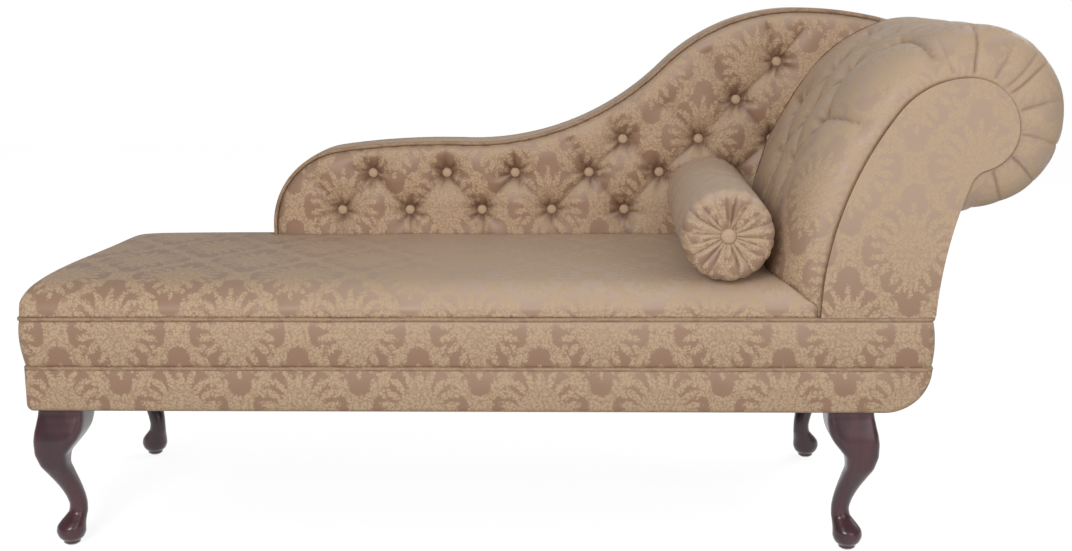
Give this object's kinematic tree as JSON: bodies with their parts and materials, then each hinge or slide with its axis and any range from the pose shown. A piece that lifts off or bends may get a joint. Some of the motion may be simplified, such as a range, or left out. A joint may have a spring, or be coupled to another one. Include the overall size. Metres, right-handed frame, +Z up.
{
  "type": "chaise longue",
  "caption": "Upholstered chaise longue on cabriole legs, with a deep-buttoned serpentine back, one scrolled buttoned head end, a crowned seat and a loose bolster",
  "frame": {"origin": "on the floor, under the middle of the whole piece in plan", "axes": "+X along the seat to the scrolled head end, +Y to the buttoned back, +Z up"},
  "size_m": [1.61, 0.574, 0.8471],
  "materials": {
    "frame_hardwood": "planed, unfinished",
    "plywood": "unfinished",
    "leg_mahogany": "dark red-brown gloss varnish",
    "steel": "zinc plated",
    "jute": "coarse weave",
    "black_lining": "thin woven lining",
    "foam": "upholstery foam and wadding",
    "twine": "waxed twine",
    "damask": "satin ground with matte woven leaf medallions",
    "damask_buttons": "covered in the same damask",
    "damask_piping": "bias-cut damask over cord"
  },
  "bodies": {
    "chaise": {"front_rail": "frame_hardwood", "back_rail": "frame_hardwood", "foot_rail": "frame_hardwood", "head_rail": "frame_hardwood", "foot_stretcher": "frame_hardwood", "middle_stretcher": "frame_hardwood", "head_stretcher": "frame_hardwood", "corner_blocks": "frame_hardwood", "loose_tenons": "frame_hardwood", "head_scroll_rail": "frame_hardwood", "head_middle_rail": "frame_hardwood", "head_seat_rail": "frame_hardwood", "head_outer_rail": "frame_hardwood", "back_board": "plywood", "head_board_front": "plywood", "head_board_rear": "plywood", "head_former": "plywood", "facing_board": "plywood", "leg_foot_front": "leg_mahogany", "leg_foot_rear": "leg_mahogany", "leg_head_front": "leg_mahogany", "leg_head_rear": "leg_mahogany", "leg_bolts": "steel", "leg_nuts": "steel", "foot_glides": "steel", "webbing_across": "jute", "webbing_along": "jute", "seat_hessian": "jute", "dust_cover": "black_lining", "seat_foam": "foam", "back_foam": "foam", "head_foam": "foam", "back_button_twine": "twine", "head_button_twine": "twine", "border_lower_foot": "damask", "border_lower_front": "damask", "border_lower_head": "damask", "border_lower_rear": "damask", "border_upper_foot": "damask", "border_upper_front": "damask", "border_upper_head": "damask", "border_upper_rear": "damask", "seat_cover": "damask", "back_buttoned_cover": "damask", "head_buttoned_cover": "damask", "back_edge_strip": "damask", "head_edge_strip": "damask", "outside_back_cover": "damask", "outside_head_cover": "damask", "facing_cover": "damask", "back_buttons": "damask_buttons", "head_buttons": "damask_buttons", "piping_lower": "damask_piping", "piping_upper": "damask_piping", "back_piping": "damask_piping"},
    "bolster": {"bolster_core": "foam", "bolster_cover": "damask", "bolster_buttons": "damask_buttons"}
  },
  "joints": [
    {"name": "bolster_lift", "type": "slide", "parent": "chaise", "child": "bolster", "axis": [0, 0, 1], "range_m": [0, 0.45]}
  ]
}
